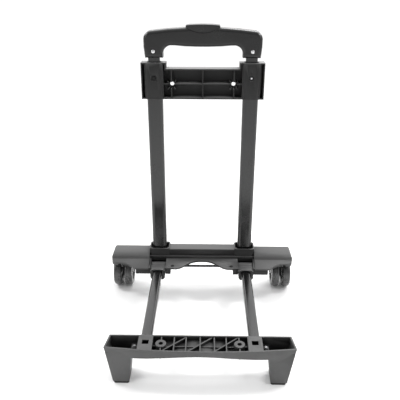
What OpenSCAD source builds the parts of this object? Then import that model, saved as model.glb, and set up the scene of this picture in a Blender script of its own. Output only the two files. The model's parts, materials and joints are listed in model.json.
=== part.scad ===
// Folding luggage cart: telescopic handle, crossbar, wheeled base and a platform that folds up.
// +Z is up and the platform points to -Y. The origin is on the floor, under the middle of the cart.

/* [Uprights] */
// Half the distance between the two uprights
upright_x = 70; // [66:1:74]
// Width of an outer upright tube
outer_w = 23; // [21.5:0.5:23]
// Depth of an outer upright tube
outer_d = 16; // [15.5:0.5:16.5]
// Wall of the upright tubes
tube_wall = 1.2; // [1:0.1:1.3]
// Travel of each telescopic stage
stage_travel = 260; // [200:5:265]

/* [Platform] */
// Half the distance between the platform tubes
platform_x = 71.5; // [70:0.5:72]
// Distance from the uprights to the front bar's front corners
bar_front = 229.5; // [210:0.5:240]
// How far the bar's front edge bows forward between its corners
bar_bow = 7.5; // [0:0.5:10]
// Depth of the front bar at its ends, back to front
bar_depth = 25.7; // [25:0.1:32]
// Half width of the front bar at its front edge
bar_half = 124; // [116:1:126]
// Height of the bar's top edge
bar_top = 51.5; // [51.2:0.1:53]

/* [Wheels] */
// Outside radius of a wheel
wheel_r = 25; // [23:0.5:25]
// Width of one wheel
wheel_w = 12.8; // [10:0.1:13]
// Radius of the wheel axles
axle_r = 2.5; // [2:0.1:3]

/* [Base] */
// Half width of the base over its wheel housings
base_half = 148.6; // [146:0.1:150]
// Height of the base's top face
base_top = 73; // [72:0.5:74]
// Wall of the mouldings
wall = 2.3; // [2:0.1:2.5]

/* [Handle] */
// Height of the crossbar's lower edge
crossbar_z = 322.5; // [318:0.5:330]
// Height of the lower end of the handle's legs
handle_z = 381; // [380:0.5:384]
// Travel of the release button
button_travel = 4; // [3:0.5:4]

/* [Hidden] */
$fn = 48;
eps = 0.01;

// Wheels
wheel_y = 2;
inner_wheel_x = 117.4;
outer_wheel_x = base_half - 0.3 - wheel_w;
bracket_x = (inner_wheel_x + wheel_w + outer_wheel_x) / 2;
bracket_t = outer_wheel_x - inner_wheel_x - wheel_w - 0.8;
running_gap = 0.05;
hub_r = 18;
wing_boss = [95, 2];
flange_z = 60;
flange_top = 63.7;

// The feet stand forward of the bar's corners, as far as the bow's middle
reach_front = bar_front + bar_bow;
reach_back = wheel_y + wheel_r;
upright_y = (reach_front - reach_back) / 2;

// Telescopic tubes: each stage slides in the one outside it
stage_gap = 0.3;
middle_w = outer_w - 2 * tube_wall - 2 * stage_gap;
middle_d = outer_d - 2 * tube_wall - 2 * stage_gap;
inner_w = middle_w - 2 * tube_wall - 2 * stage_gap;
inner_d = middle_d - 2 * tube_wall - 2 * stage_gap;
inner_wall = 1;
outer_corner = 5;
middle_corner = 4;
inner_corner = 3;
outer_z = 44;
outer_top = 366;
middle_z = 52;
middle_top = 371;
inner_z = 58;
inner_top = 396;
bush_top = 372;
middle_cap_top = 374.8;
lock_hole_r = 2.2;
lock_pin_r = 1.9;
middle_pin_z = 48.5;
inner_pin_z = 68;

// Platform hinge
pivot_y = -20.2;
pivot_z = 47;
rod_r = 2;
tube_top = 50.6;
plat_w = 15;
plat_h = 12;
plat_wall = 1.2;
plat_corner = 3.5;
knuckle_w = 24;
knuckle_front = -43.5;
hood_back = -36.2;
hood_top = 53.4;
saddle_top = 51.4;
knuckle_floor = 34.5;
knuckle_screw_y = -36;
tube_back = -29;
slot_w = 25;
block_in = 51;
block_out = 108;
block_z = 40.7;
block_front = -36;
lip_y = -40;
lip_z = 54;
base_screw = [48, -33];
base_boss_z = 50.6;
band_y = -11;
ledge_y = -15.5;
ledge_z = 62;
wing_x = 86.5;
back_y = 9;
socket_half_w = 16.5;
socket_half_d = 12.5;
collar_top = 75;
funnel_deep = 9;

// Front bar
bar_back = bar_front - bar_depth;
boss_y = -(bar_back + bar_front + bar_bow) / 2;
bar_screw_y = -bar_back - 14;
tube_front = -bar_front + 2;
bar_taper = 3.6;
leg_step = 5;
foot_flat = 3.5;
bar_wall = 2;
rib_t = 1.5;
boss_x = 51;
boss_r = 7;
boss_hole_r = 3;
leg_in_top = 88.5;
leg_in_bottom = 92.5;
leg_out_bottom = 112.6;
pad_h = 3;
bar_low = 37.6;
bar_mid = 43.4;
end_screw = [86, -217.5];
end_screw_z = 44;

// Crossbar
cross_half = 88.8;
sleeve_corner = 5;
ear_in = 53;
ear_top = 374.2;
cross_top = 365.8;
cross_front = -9.5;
cross_back = 10.5;
sleeve_half = 13.2;
sleeve_front = -11.5;
cross_hole_x = 45.2;
cross_hole_z = 341.8;
cross_hole_r = 3;
cross_rib_z = 344;
latch_z = 353;
pocket = 4;

// Handle
leg_in = 56.5;
leg_out = 82;
shoulder_out = 83.6;
grip_low = 396;
grip_half_d = 12;
rivet_z = 390;
handle_screw_z = 402;
button_half = 24;
button_half_d = 8.6;
button_low = 413;
button_top = 426.3;
yoke_z = 410;
rod_x = upright_x - 4.5;
scoop_low = 414.5;
scoop_r = 44.6;

// ---------- helpers ----------
module from_uprights() { translate([0, upright_y, 0]) children(); }
module on_side(side) { mirror([side < 0 ? 1 : 0, 0, 0]) children(); }
// A Y-Z outline drawn out along X
module along_x(x0, x1) { translate([x0, 0, 0]) rotate([90, 0, 90]) linear_extrude(x1 - x0) children(); }
// An X-Z outline drawn out along Y
module along_y(y0, y1) { translate([0, y1, 0]) rotate([90, 0, 0]) linear_extrude(y1 - y0) children(); }
module box(x, y, z) { translate([x[0], y[0], z[0]]) cube([x[1] - x[0], y[1] - y[0], z[1] - z[0]]); }
module pin_x(x0, x1, y, z, r) { translate([x0, y, z]) rotate([0, 90, 0]) cylinder(r = r, h = x1 - x0); }
module pin_y(x, y0, y1, z, r) { translate([x, y1, z]) rotate([90, 0, 0]) cylinder(r = r, h = y1 - y0); }
module pin_z(x, y, z0, z1, r) { translate([x, y, z0]) cylinder(r = r, h = z1 - z0); }
module rounded_rect(w, d, r) {
    square([w - 2 * r, d], center = true);
    square([w, d - 2 * r], center = true);
    for (sx = [-1, 1], sy = [-1, 1])
        translate([sx * (w / 2 - r), sy * (d / 2 - r)]) circle(r);
}
module tube_section(w, d, r, t) {
    difference() {
        rounded_rect(w, d, r);
        rounded_rect(w - 2 * t, d - 2 * t, r - t);
    }
}
// Points of an ellipse's arc, from angle a0 to a1
function arc(cx, cy, rx, ry, a0, a1, n = 12) =
    [for (i = [0:n]) let (a = a0 + (a1 - a0) * i / n) [cx + rx * cos(a), cy + ry * sin(a)]];
function mirrored(points) = [for (i = [len(points) - 1:-1:0]) [-points[i][0], points[i][1]]];
// A screw along Y, head first at y_head, pointing to y_tip, with a cross recess in its head
module screw_y(x, z, y_head, y_tip, head_r, shank_r, head_h = 1.6) {
    dir = y_tip > y_head ? 1 : -1;
    translate([x, y_head, z]) rotate([dir > 0 ? -90 : 90, 0, 0]) {
        difference() {
            cylinder(r = head_r, h = head_h);
            for (a = [0, 90]) rotate([0, 0, a])
                translate([-head_r * 0.6, -0.35, -eps]) cube([head_r * 1.2, 0.7, 0.8]);
        }
        translate([0, 0, head_h]) cylinder(r = shank_r, h = abs(y_tip - y_head) - head_h);
    }
}

// ---------- base ----------
// Section of the base's middle: top, recessed front band, ledge and a flare to the front lip
module base_section() {
    flare_top = ledge_z - 2.5;
    rise = flare_top - lip_z;
    polygon(concat(
        [[back_y, base_top - 1], [back_y - 1, base_top], [band_y + 1, base_top], [band_y, base_top - 1],
         [band_y, ledge_z], [ledge_y, ledge_z]],
        arc(lip_y, flare_top, ledge_y - lip_y, rise, 0, -90),
        arc(lip_y, flare_top - wall, ledge_y + wall - lip_y, rise, -90, 0),
        [[ledge_y + wall, flare_top], [band_y + wall, flare_top], [band_y + wall, base_top - wall],
         [back_y - wall, base_top - wall], [back_y - wall, 46], [back_y, 46]]
    ));
}
// The front edge curves back between the hinge blocks
arch_half = 42;
function arch_edge(x) = lip_y + 20.5 * pow(cos(90 * pow(min(1, abs(x) / arch_half), 1.5)), 2);
module arch_cut() {
    translate([0, 0, block_z])
        linear_extrude(20) polygon(concat(
            [for (i = [-14:14]) [i * arch_half / 14, arch_edge(i * arch_half / 14)]],
            [[arch_half, lip_y - 5], [-arch_half, lip_y - 5]]
        ));
}
module hinge_block() {
    slot0 = platform_x - slot_w / 2;
    slot1 = platform_x + slot_w / 2;
    // front skirt
    box([block_in, slot0], [block_front, block_front + wall], [block_z, lip_z - 1]);
    box([slot1, block_out], [block_front, block_front + wall], [block_z, lip_z - wall - 0.2]);
    // cross walls that carry the pivot rod
    for (x = [block_in, slot0 - wall])
        box([x, x + wall], [block_front, back_y - 0.5], [block_z, lip_z + 0.2]);
    box([slot1, slot1 + wall], [block_front, back_y - 0.5], [block_z, lip_z - wall - 0.2]);
    box([block_out - wall, block_out], [block_front, back_y], [block_z, lip_z - wall - 0.2]);
    // back and bottom of the outer bay
    box([slot1, block_out], [back_y - wall, back_y], [block_z, lip_z - wall - 0.2]);
    box([slot1, block_out], [block_front, back_y], [block_z, block_z + wall]);
    box([block_in, slot0], [block_front, back_y - 0.5], [block_z, block_z + wall]);
}
module socket() {
    translate([upright_x, 0, outer_z]) linear_extrude(collar_top - outer_z)
        rounded_rect(2 * socket_half_w, 2 * socket_half_d, 4);
}
module base_body() color("dimgray") from_uprights() {
    slot0 = platform_x - slot_w / 2;
    slot1 = platform_x + slot_w / 2;
    difference() {
        union() {
            difference() {
                along_x(-wing_x, wing_x) base_section();
                arch_cut();
            }
            for (side = [-1, 1]) on_side(side) {
                hinge_block();
                socket();
                pin_z(base_screw[0], base_screw[1], base_boss_z, lip_z, 4);
                // stop under the socket that the knuckle's heel meets
                box([slot0, slot1], [-9, back_y], [outer_z, outer_z + 3]);
                // webs inside the hollow middle
                box([28, 28 + wall], [band_y + 1, back_y - 1], [56, base_top - 1]);
            }
        }
        for (side = [-1, 1]) on_side(side) {
            // the uprights' seats, closed at the bottom, with a funnel at the collar
            translate([upright_x, 0, outer_z + 0.5]) linear_extrude(collar_top)
                rounded_rect(outer_w + 0.2, outer_d + 0.2, outer_corner + 0.1);
            translate([upright_x, 0, collar_top - funnel_deep]) linear_extrude(collar_top)
                rounded_rect(outer_w + 6.8, outer_d + 5.6, outer_corner);
            // slot for the platform's knuckle
            box([slot0, slot1], [lip_y - 1, ledge_y + 0.1], [block_z - 1, ledge_z - 2.6]);
            pin_x(block_in - 1, block_out + 1, pivot_y, pivot_z, rod_r + running_gap);
            // seats of the two front screws and the back screw
            pin_z(base_screw[0], base_screw[1], block_z, 60, 1.6);
            pin_z(base_screw[0], base_screw[1], lip_z - 1, 60, 3);
            pin_y(upright_x, outer_d / 2 - 1, socket_half_d + 1, 60, 1.6);
            pin_z(wing_boss[0], wing_boss[1], block_z - 1, block_z + wall + 1, 1.6);
        }
    }
}
// Wheel housings: the section is clipped by a plan outline and a front outline
module housing_section(inset) {
    top = 68 - inset;
    back = 14 - inset;
    polygon(concat(
        [[back, 50]], arc(back - 4.5, top - 4.5, 4.5, 4.5, 0, 90, 6),
        arc(-6, 61 - inset, 13 - inset, 7, 90, 180, 8),
        [[-20 + inset, 59.6 - inset], [lip_y + inset * 1.2, lip_z - inset * 0.6], [lip_y + inset * 1.2, 50]]
    ));
}
function housing_edge(x) = x < 109 ? lip_y : x > 131 ? lip_y + 11.7 : lip_y + 11.7 * sin(90 * (x - 109) / 22);
module housing_plan(inset) {
    edge = [for (i = [0:24]) let (x = wing_x + (base_half - 9 - inset - wing_x) * i / 24)
        [x, housing_edge(x)]];
    polygon(concat(
        [[wing_x - 1, 20]], [[wing_x - 1, lip_y]], edge,
        arc(base_half - 9 - inset, lip_y + 11.7 + 9, 9, 9, -75, 0, 5),
        arc(base_half - 7 - inset, 14 - 7, 7, 7, 0, 90, 6)
    ));
}
module housing_front(inset) {
    polygon(concat(
        [[wing_x - 1, 40], [base_half - inset, 40]],
        arc(base_half - 6 - inset, 62 - inset, 6, 6, 0, 90, 6),
        [[wing_x - 1, 68 - inset]]
    ));
}
module housing_solid(inset) {
    intersection() {
        along_x(wing_x + 0.2, base_half) housing_section(inset);
        translate([0, 0, 40]) linear_extrude(40) housing_plan(inset);
        along_y(-60, 40) housing_front(inset);
    }
}
module wheel_housing() {
    difference() {
        union() {
            difference() {
                housing_solid(0);
                difference() {
                    housing_solid(wall);
                    box([wing_x, wing_x + 0.2 + wall], [-60, 40], [56, 80]);
                    // stiffening rib between the hinge block and the wheels
                    box([111, 111 + wall], [-30, 12], [50, 80]);
                }
                // open underside, with the front lip kept
                box([wing_x - 1, 150], [-60, 40], [40, 51.7]);
            }
            pin_z(wing_boss[0], wing_boss[1], block_z + wall + 0.1, 66.5, 3.5);
            for (y = [-7, 7]) pin_z(bracket_x, wheel_y + y, flange_top + 0.1, 66.5, 3);
        }
        pin_z(wing_boss[0], wing_boss[1], block_z, 64, 1.3);
        for (y = [-7, 7]) pin_z(bracket_x, wheel_y + y, 60, 66.4, 1.25);
    }
}
module left_wheel_housing() color("gray") from_uprights() on_side(-1) wheel_housing();
module right_wheel_housing() color("gray") from_uprights() on_side(1) wheel_housing();

// The bracket is a blade between the twin wheels, hung from a flange in the housing
module wheel_bracket() {
    difference() {
        union() {
            along_x(bracket_x - bracket_t / 2, bracket_x + bracket_t / 2) {
                translate([wheel_y, wheel_r]) circle(8);
                polygon([[wheel_y - 8, wheel_r], [wheel_y + 8, wheel_r], [wheel_y + 8, flange_z + 1],
                         [wheel_y - 8, flange_z + 1]]);
            }
            box([bracket_x - 9, bracket_x + 7.5], [wheel_y - 9.5, wheel_y + 8.7], [flange_z, flange_top]);
        }
        pin_x(bracket_x - 5, bracket_x + 5, wheel_y, wheel_r, axle_r);
        for (y = [-7, 7]) pin_z(bracket_x, wheel_y + y, flange_z - 1, 67, 1.3);
        // relief beside the blade for the screw heads
        for (y = [-7, 7]) pin_z(bracket_x, wheel_y + y, 40, flange_z, 2.6);
    }
}
module left_wheel_bracket() color("#242424") from_uprights() on_side(-1) wheel_bracket();
module right_wheel_bracket() color("#242424") from_uprights() on_side(1) wheel_bracket();
module housing_screws() color("silver") from_uprights()
    for (side = [-1, 1]) on_side(side) {
        for (y = [-7, 7]) {
            pin_z(bracket_x, wheel_y + y, flange_z - 1.6, flange_z - 0.1, 2.4);
            pin_z(bracket_x, wheel_y + y, flange_z - 0.1, 66.3, 1.2);
        }
        pin_z(wing_boss[0], wing_boss[1], block_z - 1.5, block_z - 0.1, 2.8);
        pin_z(wing_boss[0], wing_boss[1], block_z - 0.1, 52, 1.2);
    }

// Axles: one short steel pin for each pair of wheels
axle_in = inner_wheel_x + 1.1;
axle_out = outer_wheel_x + wheel_w - 1.1;
module axle() pin_x(axle_in, axle_out, wheel_y, wheel_r, axle_r);
module left_axle() color("silver") from_uprights() on_side(-1) axle();
module right_axle() color("silver") from_uprights() on_side(1) axle();
// Domed push-on caps hold the wheels on the axles
module axle_caps() color("#303030") from_uprights()
    for (side = [-1, 1]) on_side(side) {
        translate([axle_in, wheel_y, wheel_r]) rotate([0, -90, 0]) cylinder(r1 = 5, r2 = 4, h = 1.2);
        translate([axle_out, wheel_y, wheel_r]) rotate([0, 90, 0]) cylinder(r1 = 5, r2 = 4, h = 1.2);
    }

module base_screws() color("#1c1c1c") from_uprights()
    for (side = [-1, 1]) on_side(side) {
        pin_z(base_screw[0], base_screw[1], base_boss_z + 0.4, lip_z - 0.9, 1.5);
        pin_z(base_screw[0], base_screw[1], lip_z - 0.9, lip_z, 2.8);
    }
module socket_screws() color("silver") from_uprights()
    for (side = [-1, 1]) on_side(side)
        screw_y(upright_x, 60, socket_half_d + 1.6, outer_d / 2 - 1.1, 3, 1.5);

// ---------- uprights ----------
module lock_holes(z) {
    for (dz = [0, stage_travel]) pin_y(0, 0, outer_d, z + dz, lock_hole_r);
}
module outer_tube() {
    translate([upright_x, 0, 0]) difference() {
        translate([0, 0, outer_z + 0.5]) linear_extrude(outer_top - outer_z - 0.5)
            tube_section(outer_w, outer_d, outer_corner, tube_wall);
        lock_holes(middle_pin_z);
        pin_y(0, 0, outer_d, 60, 1.6);
        pin_y(0, -outer_d, 0, latch_z, 1.6);
    }
}
module left_outer_tube() color("#3a3a3a") from_uprights() on_side(-1) outer_tube();
module right_outer_tube() color("#3a3a3a") from_uprights() on_side(1) outer_tube();
module outer_bush() {
    translate([upright_x, 0, outer_top]) linear_extrude(bush_top - outer_top) difference() {
        rounded_rect(outer_w, outer_d, outer_corner);
        rounded_rect(middle_w + 0.3, middle_d + 0.3, middle_corner);
    }
}
module left_outer_bush() color("#1e1e1e") from_uprights() on_side(-1) outer_bush();
module right_outer_bush() color("#1e1e1e") from_uprights() on_side(1) outer_bush();

module crossbar_outline() {
    polygon([[-cross_half, crossbar_z], [cross_half, crossbar_z], [cross_half, ear_top], [ear_in, ear_top],
             [ear_in, cross_top], [-ear_in, cross_top], [-ear_in, ear_top], [-cross_half, ear_top]]);
}
module crossbar_hollow(x0, x1, z1) {
    box([x0, x1], [cross_front - 1, cross_back - 2.2], [crossbar_z + 1.8, z1 - 1.8]);
}
module crossbar() color("#2a2a2a") from_uprights() difference() {
    union() {
        difference() {
            along_y(cross_front, cross_back) crossbar_outline();
            crossbar_hollow(-ear_in + 2, ear_in - 2, cross_top);
            for (side = [-1, 1]) on_side(side) {
                crossbar_hollow(ear_in - 2.1, upright_x - sleeve_half, cross_top);
                crossbar_hollow(ear_in + 1.8, upright_x - sleeve_half, ear_top);
                crossbar_hollow(upright_x + sleeve_half, cross_half - 1.8, ear_top);
            }
        }
        for (side = [-1, 1]) on_side(side) {
            translate([upright_x, (sleeve_front + cross_back - 0.5) / 2, crossbar_z])
                linear_extrude(ear_top - crossbar_z)
                    rounded_rect(2 * sleeve_half, cross_back - 0.5 - sleeve_front, sleeve_corner);
            box([cross_hole_x - rib_t / 2, cross_hole_x + rib_t / 2], [cross_front + 1.5, cross_back - 1],
                [crossbar_z, cross_top]);
            for (a = [45, 135]) translate([cross_hole_x, 0, cross_hole_z]) rotate([0, a, 0])
                translate([-8, cross_front + 3, -0.6]) cube([16, 16, 1.2]);
        }
        box([-rib_t / 2, rib_t / 2], [cross_front + 1.5, cross_back - 1], [crossbar_z, cross_top]);
        box([-upright_x + sleeve_half, upright_x - sleeve_half], [cross_front + 1.5, cross_back - 1],
            [cross_rib_z - rib_t / 2, cross_rib_z + rib_t / 2]);
    }
    for (side = [-1, 1]) on_side(side) {
        // the ribs stop short of the hole
        pin_y(cross_hole_x, -20, cross_back - 3.2, cross_hole_z, 5);
        translate([upright_x, 0, crossbar_z - 1]) linear_extrude(bush_top - crossbar_z + 1)
            rounded_rect(outer_w + 0.2, outer_d + 0.2, outer_corner + 0.1);
        translate([upright_x, 0, bush_top - 1]) linear_extrude(10)
            rounded_rect(middle_w + 0.6, middle_d + 0.6, middle_corner + 0.2);
        pin_y(cross_hole_x, -20, 20, cross_hole_z, cross_hole_r);
        pin_y(upright_x, -20, 0, latch_z, 1.6);
        pin_y(upright_x, sleeve_front - 1, sleeve_front + 2.8, latch_z, 3.8);
    }
    // the left sleeve's screw sits in a square pocket, the right one has a vent above it
    box([-upright_x - pocket, -upright_x + pocket], [sleeve_front - 1, sleeve_front + 2.8],
        [latch_z - pocket, latch_z + pocket]);
    pin_y(upright_x, sleeve_front - 1, sleeve_front + 2, latch_z + 7.5, 0.9);
}
module crossbar_screws() color("silver") from_uprights()
    for (side = [-1, 1]) on_side(side)
        screw_y(upright_x, latch_z, sleeve_front + 1.4, -outer_d / 2 + 1.1, 2.4, 1.5, 1.2);

// ---------- middle stage ----------
module middle_tube() {
    translate([upright_x, 0, 0]) difference() {
        translate([0, 0, middle_z]) linear_extrude(middle_top - middle_z)
            tube_section(middle_w, middle_d, middle_corner, tube_wall);
        lock_holes(inner_pin_z);
    }
}
module left_middle_tube() color("#343434") from_uprights() on_side(-1) middle_tube();
module right_middle_tube() color("#343434") from_uprights() on_side(1) middle_tube();
module middle_bush() {
    translate([upright_x, 0, middle_top]) linear_extrude(middle_cap_top - middle_top) difference() {
        rounded_rect(middle_w, middle_d, middle_corner);
        rounded_rect(inner_w + 0.3, inner_d + 0.3, inner_corner);
    }
}
module left_middle_bush() color("#1a1a1a") from_uprights() on_side(-1) middle_bush();
module right_middle_bush() color("#1a1a1a") from_uprights() on_side(1) middle_bush();
module middle_lock_block() {
    translate([upright_x, 0, 0]) difference() {
        translate([0, 0, 45]) linear_extrude(middle_z - 45)
            rounded_rect(middle_w + 0.2, middle_d + 0.2, middle_corner);
        pin_y(0, -4, outer_d, middle_pin_z, lock_pin_r + 0.05);
    }
}
module left_middle_lock_block() color("#202020") from_uprights() on_side(-1) middle_lock_block();
module right_middle_lock_block() color("#202020") from_uprights() on_side(1) middle_lock_block();
module middle_lock_pins() color("silver") from_uprights()
    for (side = [-1, 1]) on_side(side)
        pin_y(upright_x, -2, middle_d / 2 + 0.1, middle_pin_z, lock_pin_r);

// ---------- handle stage ----------
module inner_tube() {
    translate([upright_x, 0, 0]) difference() {
        translate([0, 0, inner_z]) linear_extrude(inner_top - inner_z)
            tube_section(inner_w, inner_d, inner_corner, inner_wall);
        pin_y(0, 0, outer_d, inner_pin_z, lock_hole_r);
        pin_y(0, -outer_d, outer_d, rivet_z, 2.1);
    }
}
module left_inner_tube() color("#2c2c2c") from_uprights() on_side(-1) inner_tube();
module right_inner_tube() color("#2c2c2c") from_uprights() on_side(1) inner_tube();
module inner_lock_block() {
    translate([upright_x, 0, 0]) difference() {
        union() {
            translate([0, 0, 53]) linear_extrude(inner_z - 53)
                rounded_rect(inner_w + 0.2, inner_d + 0.2, inner_corner);
            translate([0, 0, inner_z - eps]) linear_extrude(20)
                rounded_rect(inner_w - 2.2, inner_d - 2.2, inner_corner - 1);
        }
        pin_y(0, -2.5, outer_d, inner_pin_z, lock_pin_r + 0.05);
    }
}
module left_inner_lock_block() color("#202020") from_uprights() on_side(-1) inner_lock_block();
module right_inner_lock_block() color("#202020") from_uprights() on_side(1) inner_lock_block();
module inner_lock_pins() color("silver") from_uprights()
    for (side = [-1, 1]) on_side(side)
        pin_y(upright_x, -1, inner_d / 2 + 0.1, inner_pin_z, lock_pin_r);

half_outline = concat(
    [[leg_in, handle_z], [leg_out, handle_z], [shoulder_out, 396], [shoulder_out, 407]],
    arc(shoulder_out - 10, 407, 10, 10.5, 10, 80, 6),
    [[27, 421.5], [0, 422.5]]
);
half_inside = concat([[0, grip_low], [25, grip_low + 0.6], [44, grip_low + 2]],
    [for (p = arc(44, grip_low - 10, 12.5, 12, 75, 5, 6)) p]);
module handle_outline() {
    half = concat(half_inside, [[leg_in, handle_z]], [for (i = [1:len(half_outline) - 1]) half_outline[i]]);
    polygon(concat(half, mirrored([for (p = half) if (p[0] > 0) p])));
}
// y0..y1 is this shell's half of the grip
module handle_shell(y0, y1) {
    difference() {
        along_y(y0, y1) handle_outline();
        box([-74, 74], [-9, 9], [grip_low + 4, 414]);
        for (side = [-1, 1]) on_side(side) {
            translate([upright_x, 0, handle_z - 1]) linear_extrude(inner_top - handle_z + 1.4)
                rounded_rect(inner_w + 0.2, inner_d + 0.2, inner_corner + 0.1);
            pin_z(rod_x, 0, inner_top, grip_low + 5, 2);
            pin_y(upright_x, -20, 20, rivet_z, 2);
            pin_y(42, -1, grip_half_d + 1, handle_screw_z, 1.3);
            pin_y(42, grip_half_d - 2.4, grip_half_d + 1, handle_screw_z, 2.9);
        }
        // opening for the button, with a scoop in the top edge at the front and back
        box([-button_half - 0.4, button_half + 0.4], [-button_half_d - 0.4, button_half_d + 0.4], [405, 430]);
        translate([0, -20, scoop_low + scoop_r]) rotate([-90, 0, 0]) cylinder(r = scoop_r, h = 40, $fn = 160);
    }
}
module handle_front_shell() color("#262626") from_uprights() {
    handle_shell(-grip_half_d, 0);
    for (side = [-1, 1]) on_side(side) difference() {
        pin_y(42, -10, 0, handle_screw_z, 3.2);
        pin_y(42, -7, 1, handle_screw_z, 1.2);
    }
}
module handle_back_shell() color("#262626") from_uprights() handle_shell(0, grip_half_d);
module handle_rivets() color("lightgray") from_uprights()
    for (side = [-1, 1]) on_side(side) {
        pin_y(upright_x, -grip_half_d - 0.2, grip_half_d + 0.2, rivet_z, 1.95);
        for (y = [-1, 1]) pin_y(upright_x, min(y * (grip_half_d + 0.2), y * (grip_half_d + 1.2)),
            max(y * (grip_half_d + 0.2), y * (grip_half_d + 1.2)), rivet_z, 2.6);
    }
module handle_screws() color("silver") from_uprights()
    for (side = [-1, 1]) on_side(side) screw_y(42, handle_screw_z, grip_half_d - 0.6, -5, 2.7, 1.1);

// ---------- release button ----------
module release_button() color("#222222") from_uprights() intersection() {
    box([-button_half, button_half], [-button_half_d, button_half_d], [button_low, button_top]);
    // a gently crowned top, lower towards the ends
    translate([0, 20, button_top - 260]) rotate([90, 0, 0]) cylinder(r = 260, h = 40, $fn = 180);
}
module button_yoke() color("silver") from_uprights()
    box([-rod_x - 3, rod_x + 3], [-3, 3], [yoke_z, button_low]);
module push_rod() pin_z(rod_x, 0, 84, yoke_z, 1.5);
module left_push_rod() color("silver") from_uprights() on_side(-1) push_rod();
module right_push_rod() color("silver") from_uprights() on_side(1) push_rod();
module button_spring() color("silver") from_uprights()
    translate([0, 0, grip_low + 4]) difference() {
        cylinder(r = 5, h = yoke_z - grip_low - 4);
        translate([0, 0, -eps]) cylinder(r = 4, h = yoke_z - grip_low);
    }

// ---------- platform ----------
module knuckle() {
    difference() {
        union() {
            pin_x(platform_x - knuckle_w / 2, platform_x + knuckle_w / 2, pivot_y, pivot_z, 6.5);
            translate([platform_x, 0, 0]) along_y(knuckle_front, pivot_y) intersection() {
                translate([0, knuckle_floor + 12]) rounded_rect(knuckle_w, 24, 7);
                translate([-20, knuckle_floor]) square([40, tube_top - knuckle_floor]);
            }
            // hood that closes the slot in the base's lip
            translate([platform_x, 0, 0]) along_y(knuckle_front, hood_back)
                translate([0, (knuckle_floor + hood_top) / 2])
                    rounded_rect(knuckle_w, hood_top - knuckle_floor, 6);
            // cover over the tube's end, low enough to pass the ledge when it folds
            box([platform_x - knuckle_w / 2, platform_x + knuckle_w / 2], [hood_back - 0.1, pivot_y],
                [tube_top - 4, saddle_top]);
            // heel that stops the platform when it is level
            box([platform_x - knuckle_w / 2, platform_x + knuckle_w / 2], [pivot_y - 6, -8],
                [36.5, outer_z - 0.2]);
        }
        box([platform_x - plat_w / 2 - 0.1, platform_x + plat_w / 2 + 0.1], [knuckle_front - 1, tube_back],
            [tube_top - plat_h - 0.1, tube_top + 0.1]);
        pin_x(0, 200, pivot_y, pivot_z, rod_r + running_gap);
        pin_z(platform_x, knuckle_screw_y, 20, 40, 1.6);
        pin_z(platform_x, knuckle_screw_y, 30, knuckle_floor + 1.6, 3.2);
    }
}
module left_knuckle() color("#161616") from_uprights() on_side(-1) knuckle();
module right_knuckle() color("#161616") from_uprights() on_side(1) knuckle();
module knuckle_screws() color("silver") from_uprights()
    for (side = [-1, 1]) on_side(side) {
        pin_z(platform_x, knuckle_screw_y, knuckle_floor, knuckle_floor + 1.5, 2.9);
        pin_z(platform_x, knuckle_screw_y, knuckle_floor + 1.5, tube_top - plat_h + 1, 1.5);
    }
module pivot_rod() color("#4a4a4a") from_uprights()
    pin_x(-block_out - 2, block_out + 2, pivot_y, pivot_z, rod_r);
module pivot_rod_clips() color("silver") from_uprights()
    for (side = [-1, 1]) on_side(side) difference() {
        pin_x(block_out + 0.1, block_out + 1.3, pivot_y, pivot_z, 4);
        pin_x(block_out, block_out + 2, pivot_y, pivot_z, rod_r);
    }
module platform_tube() {
    translate([platform_x, tube_back, tube_top - plat_h / 2]) rotate([90, 0, 0]) difference() {
        linear_extrude(tube_back - tube_front) difference() {
            rounded_rect(plat_w, plat_h, plat_corner);
            rounded_rect(plat_w - 2 * plat_wall, plat_h - 2 * plat_wall, plat_corner - plat_wall);
        }
        // holes for the knuckle's and the bar's screws, and a window over the bar's
        for (y = [knuckle_screw_y, bar_screw_y])
            translate([0, 0, tube_back - y]) rotate([90, 0, 0]) cylinder(r = 1.6, h = 10);
        translate([-4, plat_h / 2 - 2, tube_back - bar_screw_y - 3.5]) cube([8, 3, 7]);
    }
}
module left_platform_tube() color("#5a5a5a") from_uprights() on_side(-1) platform_tube();
module right_platform_tube() color("#5a5a5a") from_uprights() on_side(1) platform_tube();

// Plan of the front bar: its ends flare a little to the front, and the front edge bows forward
function bow(x) = bar_bow * (1 - pow(x / bar_half, 2));
module bar_plan(inset) {
    half = bar_half - inset;
    polygon(concat(
        [[half - bar_taper, -bar_back - inset], [-half + bar_taper, -bar_back - inset]],
        [for (i = [-12:12]) let (x = half * i / 12) [x, -bar_front - bow(x) + inset]]
    ));
}
// Front view of the bar with its two legs: the outer sides slant in to the feet
function low_edge(lift) = [for (i = [-10:10]) let (x = (leg_in_top + lift) * i / 10)
    [x, bar_low + lift + (bar_mid - bar_low) * pow(cos(min(90, abs(x))), 2)]];
function end_x(z) = leg_out_bottom + (bar_half - leg_out_bottom) * z / bar_top;
module bar_view(inset, low) {
    side = [[bar_half - inset, bar_top + inset], [end_x(low) - inset, low]];
    inner = [[leg_in_bottom + inset, low]];
    polygon(concat(side, inner, [for (i = [20:-1:0]) low_edge(inset)[i]], mirrored(concat(side, inner))));
}
// Side view: the front leans forward to the feet, and the back of the legs spreads a little
module bar_side(inset, low) polygon([
    [-bar_back - inset, bar_top + inset], [-bar_back - inset, bar_low + inset],
    [-bar_back - leg_step - inset, low], [-reach_front - 0.1 + inset, low],
    [-reach_front + inset, foot_flat], [-reach_front + inset, bar_top + inset]]);
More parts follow.
